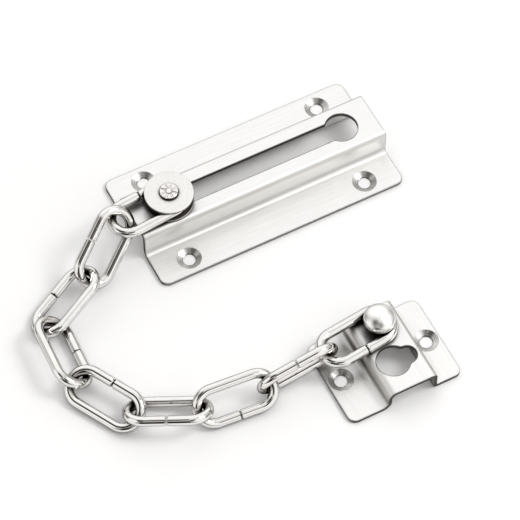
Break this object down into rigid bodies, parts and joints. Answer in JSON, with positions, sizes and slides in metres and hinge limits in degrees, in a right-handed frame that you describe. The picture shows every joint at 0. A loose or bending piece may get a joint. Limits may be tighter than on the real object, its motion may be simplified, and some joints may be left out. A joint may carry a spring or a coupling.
{
  "type": "door chain",
  "caption": "Steel door chain: a slotted track plate with a riveted slider, a chain of bent-wire links, and a bridged keeper plate with a knob and a keyhole.",
  "frame": {"origin": "centre of the track plate's four screw holes, on the face that is screwed to the door", "axes": "+X along the track from the locked end to the entry hole, +Y across it, +Z out of the door"},
  "size_m": [0.145, 0.1248, 0.0214],
  "materials": {
    "satin_sheet": "satin",
    "washer_steel": "satin",
    "rivet_steel": "satin",
    "bright_wire": "bright",
    "polished_knob": "polished"
  },
  "bodies": {
    "track": {"track_plate": "satin_sheet"},
    "slider": {"slider_stud": "rivet_steel", "slider_lower_washer": "washer_steel", "slider_upper_washer": "washer_steel"},
    "link_1": {"chain_link_1": "bright_wire"},
    "link_2": {"chain_link_2": "bright_wire"},
    "link_3": {"chain_link_3": "bright_wire"},
    "link_4": {"chain_link_4": "bright_wire"},
    "link_5": {"chain_link_5": "bright_wire"},
    "link_6": {"chain_link_6": "bright_wire"},
    "link_7": {"chain_link_7": "bright_wire"},
    "link_8": {"chain_link_8": "bright_wire"},
    "link_9": {"chain_link_9": "bright_wire"},
    "keeper": {"keeper_plate": "satin_sheet", "keeper_knob": "polished_knob"}
  },
  "joints": [
    {"name": "slider_slide", "type": "slide", "parent": "track", "child": "slider", "axis": [1, 0, 0], "range_m": [-0.0032, 0.0004]},
    {"name": "link_1_turn", "type": "hinge", "parent": "slider", "child": "link_1", "pos_m": [-0.0332, 0, 0.015], "axis": [0, 0, -1], "range_deg": [-5, 25]},
    {"name": "link_2_turn", "type": "hinge", "parent": "link_1", "child": "link_2", "pos_m": [-0.05528, -0.00254, 0.015], "axis": [0.1767, -0.9238, 0.3397], "range_deg": [-35, 35]},
    {"name": "link_3_turn", "type": "hinge", "parent": "link_2", "child": "link_3", "pos_m": [-0.07226, -0.01232, 0.00728], "axis": [0.3442, -0.4199, -0.8398], "range_deg": [-28, 60]},
    {"name": "link_4_turn", "type": "hinge", "parent": "link_3", "child": "link_4", "pos_m": [-0.08961, -0.02504, 0.00528], "axis": [-0.7696, 0.1196, -0.6272], "range_deg": [-28, 60]},
    {"name": "link_5_turn", "type": "hinge", "parent": "link_4", "child": "link_5", "pos_m": [-0.08961, -0.04733, 0.00488], "axis": [-0.6089, -0.2461, 0.7541], "range_deg": [-60, 50]},
    {"name": "link_6_turn", "type": "hinge", "parent": "link_5", "child": "link_6", "pos_m": [-0.07719, -0.06611, 0.00531], "axis": [-0.3653, -0.6469, -0.6694], "range_deg": [-28, 28]},
    {"name": "link_7_turn", "type": "hinge", "parent": "link_6", "child": "link_7", "pos_m": [-0.05681, -0.07546, 0.00614], "axis": [-0.1282, -0.784, 0.6074], "range_deg": [-60, 60]},
    {"name": "link_8_turn", "type": "hinge", "parent": "link_7", "child": "link_8", "pos_m": [-0.03363, -0.07748, 0.00735], "axis": [0.073, -0.885, -0.4598], "range_deg": [-60, 60]},
    {"name": "link_9_turn", "type": "hinge", "parent": "link_8", "child": "link_9", "pos_m": [-0.0107, -0.07724, 0.01035], "axis": [-0.0039, 0.1027, -0.9947], "range_deg": [-60, 38]},
    {"name": "keeper_turn", "type": "hinge", "parent": "link_9", "child": "keeper", "pos_m": [0.00816, -0.0754, 0.01035], "axis": [0, 0, 1], "range_deg": [-28, 180]}
  ]
}
